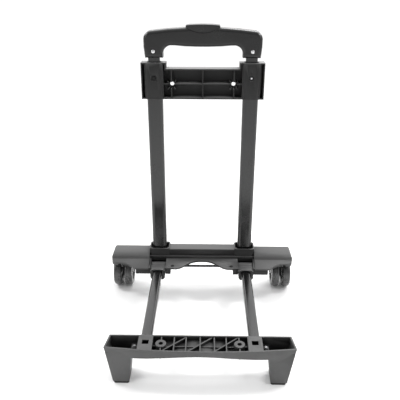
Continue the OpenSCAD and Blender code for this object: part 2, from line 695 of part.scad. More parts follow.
// The lower half of the front follows the feet, which stand as far forward as the bow
module foot_front(inset) along_x(-bar_half, bar_half) polygon([
    [-bar_back, -1], [-reach_front + inset, -1], [-reach_front + inset, foot_flat],
    [-bar_front - 1 + inset, bar_low + 6], [-bar_back, bar_low + 6]]);
module bar_solid(inset, low) intersection() {
    union() {
        linear_extrude(bar_top + inset + 1) bar_plan(inset);
        foot_front(inset);
    }
    along_y(-reach_front - 1, -bar_back + 1) bar_view(inset, low);
    along_x(-bar_half, bar_half) bar_side(inset, low);
}
module diagonal_rib(x0, x1) {
    run = [x1 - x0, bar_depth + bar_bow - 2 * bar_wall];
    translate([x0, -bar_front - bar_bow + bar_wall, 0]) rotate([0, 0, atan2(run[1], run[0])])
        translate([0, -rib_t / 2, bar_mid + 0.5]) cube([norm(run), rib_t, bar_top - bar_mid - 2]);
}
module cross_rib(x, low)
    box([x - rib_t / 2, x + rib_t / 2], [-bar_front - bow(x) + 1, -bar_back - 1], [low, bar_top - 1]);
module front_bar() color("dimgray") from_uprights() difference() {
    union() {
        difference() {
            bar_solid(0, pad_h);
            bar_solid(bar_wall, pad_h + bar_wall);
        }
        for (side = [-1, 1]) on_side(side) {
            // block that holds the platform tube
            box([platform_x - 9.5, platform_x + 9.5], [-bar_front - bow(platform_x) + 1.4, -bar_back - 0.1],
                [bar_low - 0.1, bar_top]);
            pin_z(boss_x, boss_y, bar_low + 1, bar_top, boss_r);
            pin_z(end_screw[0], end_screw[1], bar_low + 1, end_screw_z, 3.2);
            for (x = [18.5, 34]) cross_rib(x, bar_mid);
            cross_rib(boss_x, bar_low + 1);
            box([boss_x, platform_x - 9], [boss_y - rib_t / 2, boss_y + rib_t / 2],
                [bar_low + 1, bar_top - 4]);
        }
        cross_rib(0, bar_mid);
        box([-boss_x, boss_x], [boss_y - rib_t / 2, boss_y + rib_t / 2], [bar_mid + 0.5, bar_top - 5]);
        for (x = [-51.6, -17.3, 16.3]) diagonal_rib(x, x + 33.2);
    }
    for (side = [-1, 1]) on_side(side) {
        translate([platform_x, 0, tube_top - plat_h / 2]) rotate([90, 0, 0])
            linear_extrude(-tube_front + 0.2) rounded_rect(plat_w + 0.2, plat_h + 0.2, plat_corner);
        // window over the tube's screw
        box([platform_x - 4.5, platform_x + 4.5], [bar_screw_y - 4, bar_screw_y + 4], [tube_top - 1, 60]);
        pin_z(boss_x, boss_y, 20, 60, boss_hole_r);
        pin_z(platform_x, bar_screw_y, 20, 40, 1.55);
        pin_z(end_screw[0], end_screw[1], bar_low + 2, 60, 1.25);
    }
}
module bar_screws() color("silver") from_uprights()
    for (side = [-1, 1]) on_side(side) {
        seat_z = tube_top - plat_h + plat_wall;
        pin_z(platform_x, bar_screw_y, bar_low, seat_z, 1.5);
        pin_z(platform_x, bar_screw_y, seat_z, seat_z + 1.8, 2.8);
        pin_z(end_screw[0], end_screw[1], bar_low + 2.5, end_screw_z, 1.2);
        pin_z(end_screw[0], end_screw[1], end_screw_z, end_screw_z + 1.2, 1.7);
    }
module foot_pad() {
    linear_extrude(pad_h) polygon([
        [leg_in_bottom + 1.5, -bar_back - leg_step], [leg_in_bottom, -bar_back - leg_step - 1.5],
        [leg_in_bottom, -reach_front + 1.5], [leg_in_bottom + 1.5, -reach_front],
        [leg_out_bottom - 2, -reach_front], [leg_out_bottom, -reach_front + 2],
        [leg_out_bottom - 0.5, -bar_back - leg_step]]);
}
module left_foot_pad() color("#1a1a1a") from_uprights() on_side(-1) foot_pad();
module right_foot_pad() color("#1a1a1a") from_uprights() on_side(1) foot_pad();

// ---------- wheels ----------
module tyre(x0) {
    translate([x0, wheel_y, wheel_r]) rotate([0, 90, 0]) rotate_extrude($fn = 96) difference() {
        union() {
            translate([hub_r, 0]) square([wheel_r - 5 - hub_r, wheel_w]);
            translate([wheel_r - 5, 5]) circle(5);
            translate([wheel_r - 5, wheel_w - 5]) circle(5);
            translate([wheel_r - 5, 5]) square([5, wheel_w - 10]);
        }
        translate([0, -1]) square([hub_r, wheel_w + 2]);
    }
}
// A spoked hub: rim, web with round pockets, and a sleeve that runs on the axle
module hub(x0) {
    translate([x0, wheel_y, wheel_r]) rotate([0, 90, 0]) difference() {
        cylinder(r = hub_r, h = wheel_w, $fn = 96);
        for (z = [-1, wheel_w - 2.4]) translate([0, 0, z]) difference() {
            cylinder(r = hub_r - 2, h = 3.4, $fn = 96);
            translate([0, 0, -1]) cylinder(r = 4.4, h = 6);
        }
        for (z = [-1, wheel_w - 1.4]) translate([0, 0, z]) cylinder(r = 5.6, h = 2.4);
        for (a = [0:60:359]) rotate([0, 0, a]) translate([11, 0, -1]) cylinder(r = 3.2, h = wheel_w + 2);
        translate([0, 0, -1]) cylinder(r = axle_r + running_gap, h = wheel_w + 2);
    }
}
module left_outer_hub() color("#444444") from_uprights() on_side(-1) hub(outer_wheel_x);
module left_outer_tyre() color("#202020") from_uprights() on_side(-1) tyre(outer_wheel_x);
module left_inner_hub() color("#444444") from_uprights() on_side(-1) hub(inner_wheel_x);
module left_inner_tyre() color("#202020") from_uprights() on_side(-1) tyre(inner_wheel_x);
module right_outer_hub() color("#444444") from_uprights() on_side(1) hub(outer_wheel_x);
module right_outer_tyre() color("#202020") from_uprights() on_side(1) tyre(outer_wheel_x);
module right_inner_hub() color("#444444") from_uprights() on_side(1) hub(inner_wheel_x);
module right_inner_tyre() color("#202020") from_uprights() on_side(1) tyre(inner_wheel_x);

base_body();
left_wheel_housing();
right_wheel_housing();
left_wheel_bracket();
right_wheel_bracket();
left_axle();
right_axle();
axle_caps();
housing_screws();
base_screws();
socket_screws();
left_outer_tube();
right_outer_tube();
crossbar();
crossbar_screws();
left_outer_bush();
right_outer_bush();
pivot_rod();
pivot_rod_clips();
left_middle_tube();
right_middle_tube();
left_middle_bush();
right_middle_bush();
left_middle_lock_block();
right_middle_lock_block();
middle_lock_pins();
left_inner_tube();
right_inner_tube();
left_inner_lock_block();
right_inner_lock_block();
inner_lock_pins();
handle_front_shell();
handle_back_shell();
handle_rivets();
handle_screws();
release_button();
button_yoke();
left_push_rod();
right_push_rod();
button_spring();
left_knuckle();
right_knuckle();
left_platform_tube();
right_platform_tube();
front_bar();
bar_screws();
left_foot_pad();
right_foot_pad();
knuckle_screws();
left_outer_hub();
left_outer_tyre();
left_inner_hub();
left_inner_tyre();
right_outer_hub();
right_outer_tyre();
right_inner_hub();
right_inner_tyre();
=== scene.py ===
"""Looks of the folding luggage cart: moulded black plastic, coated tubes and twin wheels, on a pale floor."""

import json
import math

import bmesh
import bpy
from mathutils import Matrix, Vector


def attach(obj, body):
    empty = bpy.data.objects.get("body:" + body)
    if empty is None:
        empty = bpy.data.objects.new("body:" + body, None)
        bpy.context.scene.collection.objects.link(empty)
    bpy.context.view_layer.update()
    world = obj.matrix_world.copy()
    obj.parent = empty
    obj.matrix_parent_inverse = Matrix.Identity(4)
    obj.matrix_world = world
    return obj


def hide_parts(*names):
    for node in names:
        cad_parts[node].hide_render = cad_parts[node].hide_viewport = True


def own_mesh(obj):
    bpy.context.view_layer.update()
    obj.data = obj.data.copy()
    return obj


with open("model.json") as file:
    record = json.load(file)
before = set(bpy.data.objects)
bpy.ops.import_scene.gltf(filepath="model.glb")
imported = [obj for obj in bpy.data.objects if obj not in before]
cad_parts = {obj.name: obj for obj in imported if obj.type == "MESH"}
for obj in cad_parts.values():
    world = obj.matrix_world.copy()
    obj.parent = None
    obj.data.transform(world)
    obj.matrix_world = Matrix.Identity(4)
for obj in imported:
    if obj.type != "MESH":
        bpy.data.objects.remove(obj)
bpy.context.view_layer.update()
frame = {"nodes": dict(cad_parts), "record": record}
nodes = frame["nodes"]

MM = 0.001
SIDES = {"left": -1, "right": 1}
PAIRS = ("outer", "inner")


def box_of(node):
    """The low and the high corner of a CAD node, in mm."""
    points = [vertex.co / MM for vertex in nodes[node].data.vertices]
    return [[round(pick(point[axis] for point in points), 1) for axis in range(3)] for pick in (min, max)]


# driving sizes, in mm, from the CAD nodes
(tube_x0, tube_y0, _), (tube_x1, tube_y1, _) = box_of("right_outer_tube")
UPRIGHTS_X, UPRIGHTS_Y = (tube_x0 + tube_x1) / 2, (tube_y0 + tube_y1) / 2
(_, _, GRIP_LOW), (GRIP_HALF_W, GRIP_BACK, _) = box_of("handle_back_shell")
GRIP_HALF_D = GRIP_BACK - UPRIGHTS_Y
(_, _, SPRING_LOW), (SPRING_R, _, SPRING_HIGH) = box_of("button_spring")


# ---------------------------------------------------------------- materials
EDGE_WIDTH = 0.7 * MM  # how far wear reaches in from an edge
# the near-black tone of painted shade in recesses
PAINTED_SHADE_TONE = 0.004
RANGE_SOCKETS = ("From Min", "From Max", "To Min", "To Max")


class Graph:
    """A small wrapper that wires one procedural material."""

    def __init__(self, name):
        self.mat = bpy.data.materials.new(name)
        self.mat.use_nodes = True
        self.tree = self.mat.node_tree
        self.tree.nodes.clear()
        self.out = self.add("ShaderNodeOutputMaterial")
        self.bsdf = self.add("ShaderNodeBsdfPrincipled")
        self.link(self.bsdf.outputs[0], self.out.inputs[0])
        self.coord = self.add("ShaderNodeTexCoord").outputs["Object"]

    def add(self, kind, **props):
        node = self.tree.nodes.new(kind)
        for key, value in props.items():
            setattr(node, key, value)
        return node

    def link(self, a, b):
        self.tree.links.new(a, b)

    def noise(self, scale, detail=3.0, rough=0.5, stretch=None, distort=0.0):
        node = self.add("ShaderNodeTexNoise")
        node.inputs["Scale"].default_value = scale
        node.inputs["Detail"].default_value = detail
        node.inputs["Roughness"].default_value = rough
        node.inputs["Distortion"].default_value = distort
        source = self.coord
        if stretch:
            mapping = self.add("ShaderNodeMapping")
            mapping.inputs["Scale"].default_value = stretch
            self.link(self.coord, mapping.inputs[0])
            source = mapping.outputs[0]
        self.link(source, node.inputs["Vector"])
        return node.outputs["Fac"]

    def ramp(self, fac, stops):
        node = self.add("ShaderNodeValToRGB")
        while len(node.color_ramp.elements) < len(stops):
            node.color_ramp.elements.new(0.5)
        for element, (at, value) in zip(node.color_ramp.elements, stops):
            element.position = at
            element.color = (value, value, value, 1)
        self.link(fac, node.inputs[0])
        return node.outputs[0]

    def map(self, fac, low, high, new_low, new_high):
        node = self.add("ShaderNodeMapRange")
        for socket, value in zip(RANGE_SOCKETS, (low, high, new_low, new_high)):
            node.inputs[socket].default_value = value
        self.link(fac, node.inputs["Value"])
        return node.outputs[0]

    def mix(self, fac, a, b):
        node = self.add("ShaderNodeMix", data_type="RGBA")
        for socket, value in ((node.inputs[0], fac), (node.inputs[6], a), (node.inputs[7], b)):
            if isinstance(value, bpy.types.NodeSocket):
                self.link(value, socket)
            elif hasattr(value, "__len__"):
                socket.default_value = (*value, 1)
            else:
                socket.default_value = value
        return node.outputs[2]

    def math(self, op, a, b=0.0):
        node = self.add("ShaderNodeMath", operation=op)
        for socket, value in zip(node.inputs, (a, b)):
            if isinstance(value, bpy.types.NodeSocket):
                self.link(value, socket)
            else:
                socket.default_value = value
        return node.outputs[0]

    def bump(self, height, distance, strength, after=None):
        node = self.add("ShaderNodeBump")
        node.inputs["Strength"].default_value = strength
        node.inputs["Distance"].default_value = distance
        self.link(height, node.inputs["Height"])
        if after is not None:
            self.link(after, node.inputs["Normal"])
        return node.outputs[0]

    def edge(self):
        """1 on edges, 0 elsewhere: the rounded normal leaves the true one there."""
        rounded = self.add("ShaderNodeBevel", samples=4)
        rounded.inputs["Radius"].default_value = EDGE_WIDTH
        dot = self.add("ShaderNodeVectorMath", operation="DOT_PRODUCT")
        self.link(rounded.outputs[0], dot.inputs[0])
        self.link(self.add("ShaderNodeNewGeometry").outputs["Normal"], dot.inputs[1])
        return self.map(dot.outputs["Value"], 0.90, 0.99, 1.0, 0.0)

    def painted_top_light_mask(self, low, high):
        """1 on faces that look up in the part's own space: the mask for light from above, painted into the
        colour.
        """
        split = self.add("ShaderNodeSeparateXYZ")
        self.link(self.add("ShaderNodeTexCoord").outputs["Normal"], split.inputs[0])
        return self.map(split.outputs["Z"], low, high, 0.0, 1.0)

    def hollow(self, distance):
        """1 in tight corners and recesses, 0 in the open: the mask for painted shade."""
        node = self.add("ShaderNodeAmbientOcclusion", samples=8, only_local=True)
        node.inputs["Distance"].default_value = distance
        return self.map(node.outputs["AO"], 0.35, 0.8, 1.0, 0.0)

    def finish(self, color=None, rough=None, normal=None, **constants):
        for socket, value in (("Base Color", color), ("Roughness", rough), ("Normal", normal)):
            if value is not None:
                self.link(value, self.bsdf.inputs[socket])
        for socket, value in constants.items():
            self.bsdf.inputs[socket.replace("_", " ")].default_value = value
        return self.mat


def grey(tone):
    return (tone, tone, tone)


def plastic(
    name, dark, light, rough=0.42, grain=2600.0, grain_depth=0.012 * MM, wear=0.35, specular=0.5,
    top=0.0, top_range=(0.15, 0.75), painted_shade_reach=0.0,
):
    """Moulded plastic: fine spark-eroded grain, soft mottling, faint flow lines and paler, rubbed edges.

    top is the painted tone of faces that look up, light from above painted into the colour, which comes in
    over top_range of the normal's upward part.
    deep is the distance over which painted shade darkens a recess, in metres.
    """
    g = Graph(name)
    mottle = g.noise(38, 5, 0.6)
    flow = g.noise(14, 3, 0.55, stretch=(1.0, 1.0, 3.2), distort=0.6)
    fine = g.noise(grain, 2, 0.6)
    base = g.mix(g.map(mottle, 0.3, 0.7, 0, 1), grey(dark), grey(light))
    base = g.mix(g.map(flow, 0.42, 0.62, 0, 0.35), base, grey(light * 1.25))
    # painted light: faces that look up take the paler top tone, as if lit from above
    if top:
        painted_top_tone = g.mix(g.map(mottle, 0.3, 0.7, 0, 1), grey(top * 0.92), grey(top * 1.06))
        base = g.mix(g.painted_top_light_mask(*top_range), base, painted_top_tone)
    edge = g.math("MULTIPLY", g.edge(), g.map(g.noise(210, 4, 0.7), 0.35, 0.65, 0.25, 1.0))
    # rubbed edges go paler as real wear; where top is set they take nine tenths of the painted top-light tone
    base = g.mix(g.math("MULTIPLY", edge, wear), base, grey(max(light * 2.2, top * 0.9)))
    # painted shade: recesses and tight corners go near black
    if painted_shade_reach:
        base = g.mix(g.hollow(painted_shade_reach), base, grey(PAINTED_SHADE_TONE))
    scratch = g.ramp(g.noise(90, 6, 0.8, stretch=(1, 7, 1)), [(0.60, 0.0), (0.64, 1.0), (0.68, 0.0)])
    base = g.mix(g.math("MULTIPLY", scratch, 0.10), base, grey(light * 2.0))
    cloudy = g.map(mottle, 0.3, 0.7, rough - 0.05, rough + 0.07)
    roughness = g.math("ADD", cloudy, g.math("MULTIPLY", fine, 0.06))
    normal = g.bump(fine, grain_depth, 0.55)
    normal = g.bump(mottle, 0.1 * MM, 0.05, normal)
    return g.finish(base, roughness, normal, Specular_IOR_Level=specular)


def coated(name, dark, light, rough, axis):
    """Black coat on drawn tube: draw lines along the tube, rubbed streaks and faint orange peel."""
    stretch = [240.0, 240.0, 240.0]
    stretch[axis] = 4.0
    g = Graph(name)
    lines = g.noise(1.0, 3, 0.6, stretch=stretch)
    peel = g.noise(900, 2, 0.5)
    cloud = g.noise(22, 4, 0.6)
    base = g.mix(g.map(lines, 0.35, 0.65, 0, 1), grey(dark), grey(light))
    base = g.mix(g.map(cloud, 0.45, 0.75, 0, 0.4), base, grey(light * 1.3))
    rub = g.noise(1.0, 5, 0.75, stretch=[s * 0.45 for s in stretch])
    base = g.mix(g.map(rub, 0.62, 0.72, 0, 0.16), base, grey(light * 3.0))
    roughness = g.map(cloud, 0.3, 0.7, rough - 0.05, rough + 0.1)
    normal = g.bump(lines, 0.008 * MM, 0.35)
    normal = g.bump(peel, 0.010 * MM, 0.3, normal)
    return g.finish(
        base, roughness, normal, Metallic=0.0, Specular_IOR_Level=0.6, Coat_Weight=0.10, Coat_Roughness=0.22
    )


def metal(name, color, rough=0.28):
    """Plated or blackened steel: slight clouding, fine grain, darker in the hollows."""
    g = Graph(name)
    cloud = g.noise(160, 4, 0.6)
    fine = g.noise(900, 2, 0.6)
    pocket = g.map(g.add("ShaderNodeNewGeometry").outputs["Pointiness"], 0.42, 0.5, 1.0, 0.0)
    base = g.mix(g.map(cloud, 0.3, 0.7, 0, 1), [c * 0.82 for c in color], color)
    base = g.mix(g.math("MULTIPLY", pocket, 0.6), base, [c * 0.25 for c in color])
    roughness = g.map(cloud, 0.3, 0.7, rough - 0.06, rough + 0.12)
    return g.finish(base, roughness, g.bump(fine, 0.03 * MM, 0.4), Metallic=1.0)


def tyre_rubber(name, dark, light):
    """Polished hard rubber with a light, broken film of dust."""
    g = Graph(name)
    cloud = g.noise(60, 5, 0.65)
    fine = g.noise(1500, 2, 0.6)
    base = g.mix(g.map(cloud, 0.3, 0.7, 0, 1), grey(dark), grey(light))
    dust = g.ramp(g.noise(420, 5, 0.75), [(0.56, 0.0), (0.72, 1.0)])
    base = g.mix(g.math("MULTIPLY", dust, 0.3), base, grey(light * 2.6))
    roughness = g.map(cloud, 0.3, 0.7, 0.2, 0.36)
    normal = g.bump(fine, 0.01 * MM, 0.35)
    return g.finish(base, roughness, normal, Specular_IOR_Level=0.6, Coat_Weight=0.3, Coat_Roughness=0.15)


POLISHED = {"grain": 3200, "grain_depth": 0.006 * MM}  # a smooth mould
# top is light from above painted onto upward faces; on the crossbar and the bar, recesses also get painted
# shade over the given distance
MATS = {
    "black_plastic": plastic("moulded_black", 0.008, 0.012),
    "crossbar_plastic": plastic(
        "moulded_crossbar", 0.004, 0.007, rough=0.5, specular=0.38, top=0.22, painted_shade_reach=12 * MM
    ),
    "base_plastic": plastic(
        "moulded_base", 0.004, 0.007, specular=0.36, wear=0.6, top=0.074, top_range=(0.35, 1.0)
    ),
    # painted light: the wings take their paler top tone on every level or upward face, and half of it on
    # faces that look somewhat down
    "wing_plastic": plastic(
        "moulded_wing", 0.010, 0.014, rough=0.45, specular=0.22, wear=0.12, top=0.082, top_range=(-0.5, 0.0)
    ),
    "bar_plastic": plastic("moulded_bar", 0.062, 0.078, rough=0.48, top=0.062, painted_shade_reach=30 * MM),
    "grip_plastic": plastic("grip_satin", 0.004, 0.006, rough=0.20, specular=0.42, top=0.03, **POLISHED),
    "button_plastic": plastic("button_satin", 0.004, 0.006, rough=0.26, top=0.09, **POLISHED),
    "knuckle_plastic": plastic("moulded_knuckle", 0.004, 0.006, rough=0.45, top=0.08),
    "dark_plastic": plastic("dark_trim", 0.002, 0.004, rough=0.5, specular=0.3),
    "hub_plastic": plastic("hub_gloss", 0.008, 0.012, rough=0.24, grain=1800, grain_depth=0.006 * MM),
    "tube_z": coated("coated_upright", 0.004, 0.007, 0.20, axis=2),
    "tube_y": coated("coated_platform_tube", 0.003, 0.006, 0.12, axis=1),
    "steel": metal("zinc_steel", (0.70, 0.70, 0.71)),
    "dark_steel": metal("black_rod", (0.10, 0.10, 0.105), 0.35),
    "dull_steel": metal("blackened_steel", (0.22, 0.22, 0.225), 0.42),
    "tyre": tyre_rubber("wheel_rubber", 0.030, 0.042),
    "rubber": plastic("foot_rubber", 0.010, 0.014, rough=0.65, grain=1200, grain_depth=0.03 * MM),
}


# ---------------------------------------------------------------- mesh helpers
def adopt(piece, body, material):
    """Gives a finished piece its material and the body it rides on."""
    piece.data.materials.clear()
    piece.data.materials.append(MATS[material])
    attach(piece, body)


def link(name, mesh):
    piece = bpy.data.objects.new(name, mesh)
    bpy.context.scene.collection.objects.link(piece)
    return piece


def from_bmesh(name, bm, smooth=True):
    mesh = bpy.data.meshes.new(name)
    bm.normal_update()
    bm.to_mesh(mesh)
    bm.free()
    for face in mesh.polygons:
        face.use_smooth = smooth
    return link(name, mesh)


def apply_modifiers(piece):
    deps = bpy.context.evaluated_depsgraph_get()
    mesh = bpy.data.meshes.new_from_object(piece.evaluated_get(deps))
    piece.modifiers.clear()
    piece.data = mesh


def body_of(node):
    return next(body for body, members in frame["record"]["behaviour"]["bodies"].items() if node in members)


WELD, FLAT_ANGLE, ROUND_ANGLE = 0.002 * MM, 1.2, 32.0


def rounded_copy(node, name, width, material, segments=2):
    """A copy of a CAD node's mesh with its sharp edges rounded, which stands for the node."""
    bm = bmesh.new()
    bm.from_mesh(nodes[node].data)
    bmesh.ops.remove_doubles(bm, verts=bm.verts, dist=WELD)
    bmesh.ops.dissolve_limit(
        bm, angle_limit=math.radians(FLAT_ANGLE), verts=bm.verts, edges=bm.edges,
        delimit={"NORMAL"}, use_dissolve_boundaries=False,
    )
    piece = from_bmesh(name, bm)
    bevel = piece.modifiers.new("bevel", "BEVEL")
    bevel.width = width
    bevel.segments = segments
    bevel.limit_method = "ANGLE"
    bevel.angle_limit = math.radians(ROUND_ANGLE)
    bevel.use_clamp_overlap = True
    bevel.harden_normals = True
    bevel.miter_outer = "MITER_ARC"
    apply_modifiers(piece)
    adopt(piece, body_of(node), material)
    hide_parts(node)


# ---------------------------------------------------------------- CAD nodes that keep their own meshes
def paint(node, material):
    mesh = nodes[node].data
    mesh.materials.clear()
    mesh.materials.append(MATS[material])


# a node's own tone, or else the first row with a word from its name
OWN_TONE = {
    "pivot_rod": "dark_steel",
    "base_screws": "dark_plastic",
    "bar_screws": "dull_steel",
    "socket_screws": "dull_steel",
}
TONES = (
    (("middle_tube", "inner_tube", "outer_tube"), "tube_z"),
    (("platform_tube",), "tube_y"),
    (("tyre",), "tyre"),
    (("hub", "axle_caps"), "hub_plastic"),
    (("screw", "rivet", "axle", "pins", "clips", "spring", "yoke", "push_rod"), "steel"),
    (("bush", "block", "knuckle", "bracket"), "dark_plastic"),
    (("pad",), "rubber"),
    (("",), "black_plastic"),
)
for node in nodes:
    by_name = next(tone for words, tone in TONES if any(word in node for word in words))
    paint(node, OWN_TONE.get(node, by_name))

rounded_copy("crossbar", "crossbar_shell", 0.5 * MM, "crossbar_plastic")
rounded_copy("base_body", "base_shell", 0.5 * MM, "base_plastic")
rounded_copy("front_bar", "bar_shell", 0.45 * MM, "bar_plastic")
for side in SIDES:
    rounded_copy(f"{side}_wheel_housing", f"{side}_housing_shell", 0.5 * MM, "wing_plastic")
    rounded_copy(f"{side}_knuckle", f"{side}_knuckle_shell", 0.5 * MM, "knuckle_plastic")
    for pair in PAIRS:
        rounded_copy(f"{side}_{pair}_hub", f"{side}_{pair}_hub_disc", 0.35 * MM, "hub_plastic")
rounded_copy("release_button", "button_cap", 1.3 * MM, "button_plastic", segments=4)


# ---------------------------------------------------------------- grip, rebuilt with full rounding
GRIP_ROUND, GRIP_STEPS = 5.0, 7
SEAM = 0.15  # half the gap between the shells
GRIP_TOP, GRIP_UNDER, LEG_TOP = 422.3, 396.1, 396
SHOULDER_Z, SHOULDER_R = 406, 11
BUTTON_HALF_W = 24.4
HOLLOW_Y = (-9, 9)
SCOOP_R, SCOOP_LOW = 44.6, 414.5
BACK_SCREW = (42, 402)  # x and z
RIVET_Z = 390


def arc(cx, cz, rx, rz, start, end, steps):
    angles = (math.radians(start + (end - start) * i / steps) for i in range(steps + 1))
    return [(cx + rx * math.cos(a), cz + rz * math.sin(a)) for a in angles]


def grip_outline():
    """The grip from the front, in mm: legs, rounded shoulders, crowned top and a soft inner corner."""
    right_half = [(56.5, GRIP_LOW), (82, GRIP_LOW), (GRIP_HALF_W, LEG_TOP), (GRIP_HALF_W, SHOULDER_Z)]
    right_half += arc(GRIP_HALF_W - SHOULDER_R, SHOULDER_Z, SHOULDER_R, SHOULDER_R + 0.4, 6, 84, 9)
    right_half += [(50, 420), (27, 421.5), (9, GRIP_TOP)]
    inside = [(9, GRIP_UNDER), (25, GRIP_UNDER + 0.5), (40, GRIP_UNDER + 1.7)]
    inside += arc(44, 386, 12.5, 12, 80, 6, 8)
    loop = right_half + [(-x, z) for x, z in reversed(right_half)]
    return loop + [(-x, z) for x, z in reversed(inside)] + inside


def smooth_by_angle(piece, degrees):
    for face in piece.data.polygons:
        face.use_smooth = True
    piece.data.set_sharp_from_angle(angle=math.radians(degrees))


def box_cutter(x, y, z):
    """A block between three pairs of limits in mm, with y measured from the uprights' plane."""
    bm = bmesh.new()
    bmesh.ops.create_cube(bm, size=1)
    size = Vector((x[1] - x[0], y[1] - y[0], z[1] - z[0])) * MM
    middle = Vector((x[0] + x[1], y[0] + y[1] + 2 * UPRIGHTS_Y, z[0] + z[1])) * MM / 2
    bmesh.ops.transform(bm, matrix=Matrix.Translation(middle) @ Matrix.Diagonal((*size, 1)), verts=bm.verts)
    return from_bmesh("cutter", bm, False)


def pin_cutter(axis, at, radius, length, segments=32):
    """A cylinder along Y or Z, centred on a point in mm measured from the uprights' plane."""
    bm = bmesh.new()
    bmesh.ops.create_cone(
        bm, cap_ends=True, segments=segments, radius1=radius * MM, radius2=radius * MM, depth=length * MM
    )
    turn = Matrix.Rotation(math.pi / 2, 4, "X") if axis == "Y" else Matrix.Identity(4)
    place = Matrix.Translation(Vector((at[0], at[1] + UPRIGHTS_Y, at[2])) * MM)
    bmesh.ops.transform(bm, matrix=place @ turn, verts=bm.verts)
    return from_bmesh("cutter", bm, False)


def cut(piece, cutters):
    """Takes the cutters out of the piece, and removes them."""
    for cutter in cutters:
        boolean = piece.modifiers.new("cut", "BOOLEAN")
        boolean.operation = "DIFFERENCE"
        boolean.solver = "EXACT"
        boolean.object = cutter
        apply_modifiers(piece)
        bpy.data.objects.remove(cutter)


def grip_half(name, node, outward):
    """One shell of the grip: its outline rounded in towards the face, with the hollows cut out."""
    loop = [Vector(p) for p in grip_outline()]
    count = len(loop)
    slant = []
    for i, point in enumerate(loop):
        before = (point - loop[i - 1]).normalized()
        after = (loop[(i + 1) % count] - point).normalized()
        inward = [Vector((-d.y, d.x)) for d in (before, after)]
        slant.append((inward[0] + inward[1]) / (1 + inward[0].dot(inward[1])))
    sections = [(SEAM, 0.0)]
    for step in range(GRIP_STEPS + 1):
        turn = math.pi / 2 * step / GRIP_STEPS
        sections.append((GRIP_HALF_D - GRIP_ROUND * (1 - math.sin(turn)), GRIP_ROUND * (1 - math.cos(turn))))
    bm = bmesh.new()
    rings = [
        [
            bm.verts.new(Vector((p.x + v.x * inset, UPRIGHTS_Y + outward * away, p.y + v.y * inset)) * MM)
            for p, v in zip(loop, slant)
        ]
        for away, inset in sections
    ]
    for here, there in zip(rings, rings[1:]):
        for i in range(count):
            j = (i + 1) % count
            bm.faces.new((here[i], here[j], there[j], there[i]))
    bm.faces.new(rings[0])
    bm.faces.new(rings[-1])
    bmesh.ops.recalc_face_normals(bm, faces=bm.faces)
    piece = from_bmesh(name, bm)
    cutters = [
        box_cutter((-74, 74), HOLLOW_Y, (400, 413.9)),  # the hollow for the yoke
        box_cutter((-BUTTON_HALF_W, BUTTON_HALF_W), HOLLOW_Y, (413, 430)),  # the button's opening
        pin_cutter("Y", (0, 0, SCOOP_LOW + SCOOP_R), SCOOP_R, 40, 128),  # the dip under the button
    ]
    for k in SIDES.values():
        x = UPRIGHTS_X * k
        cutters += [
            box_cutter((x - 8.9, x + 8.9), (-5.3, 5.3), (GRIP_LOW - 2, 396.4)),  # the inner tube's socket
            pin_cutter("Z", (65.5 * k, 0, 398), 2, 8),  # the push rod's hole
        ]
        if outward > 0:  # the screws' seats are in the back shell only
            cutters.append(pin_cutter("Y", (BACK_SCREW[0] * k, GRIP_HALF_D, BACK_SCREW[1]), 2.9, 4.8))
    cut(piece, cutters)
    smooth_by_angle(piece, 38)
    adopt(piece, "handle", "grip_plastic")
    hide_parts(node)


grip_half("grip_front", "handle_front_shell", -1)
grip_half("grip_back", "handle_back_shell", 1)


# ---------------------------------------------------------------- turned pieces
def lathe(name, profile, centre, axis, steps=96):
    """Turns a closed (along, radius) profile in mm about an axis through centre."""
    side_axis = Vector((0, 1, 0)) if axis.x else Vector((1, 0, 0))
    third = axis.cross(side_axis)
    bm = bmesh.new()
    rings = []
    for i in range(steps):
        a = 2 * math.pi * i / steps
        out = side_axis * math.cos(a) + third * math.sin(a)
        rings.append([bm.verts.new((centre + axis * along + out * radius) * MM) for along, radius in profile])
    count = len(profile)
    for i in range(steps):
        here, there = rings[i], rings[(i + 1) % steps]
        for j in range(count):
            k = (j + 1) % count
            bm.faces.new((here[j], here[k], there[k], there[j]))
    bmesh.ops.recalc_face_normals(bm, faces=bm.faces)
    piece = from_bmesh(name, bm)
    smooth_by_angle(piece, 40)
    return piece


(TYRE_X0, TYRE_Y0, _), (TYRE_X1, TYRE_Y1, TYRE_TOP) = box_of("right_outer_tyre")
WHEEL_R, WHEEL_W, WHEEL_Y = TYRE_TOP / 2, round(TYRE_X1 - TYRE_X0, 1), (TYRE_Y0 + TYRE_Y1) / 2
HUB_R = WHEEL_R - box_of("right_outer_hub")[0][2]
SHOULDER, CROWN_DROP = 3.6, 0.15  # the tyre's rounded shoulder, and how far it starts below the crown


def tyre_profile():
    """A nearly flat crown between round shoulders, with a fine mould groove inside each shoulder."""
    low, high = SHOULDER, WHEEL_W - SHOULDER
    crown = [(low + 0.4, WHEEL_R - 0.12), (low + 0.7, WHEEL_R - 0.38), (low + 1.0, WHEEL_R - 0.08)]
    crown += [(WHEEL_W / 2, WHEEL_R)]
    crown += [(WHEEL_W - along, radius) for along, radius in reversed(crown[:3])]
    start = arc(low, WHEEL_R - CROWN_DROP - SHOULDER, SHOULDER, SHOULDER, 180, 94, 8)
    end = arc(high, WHEEL_R - CROWN_DROP - SHOULDER, SHOULDER, SHOULDER, 86, 0, 8)
    return [(0, HUB_R)] + start + crown + end + [(WHEEL_W, HUB_R)]


for side, k in SIDES.items():
    for pair in PAIRS:
        near_face = box_of(f"right_{pair}_tyre")[0][0]
        centre = Vector((k * near_face, WHEEL_Y, WHEEL_R))
        tyre = lathe(f"{side}_{pair}_tread", tyre_profile(), centre, Vector((k, 0, 0)))
        adopt(tyre, f"{side}_{pair}_wheel", "tyre")
        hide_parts(f"{side}_{pair}_tyre")

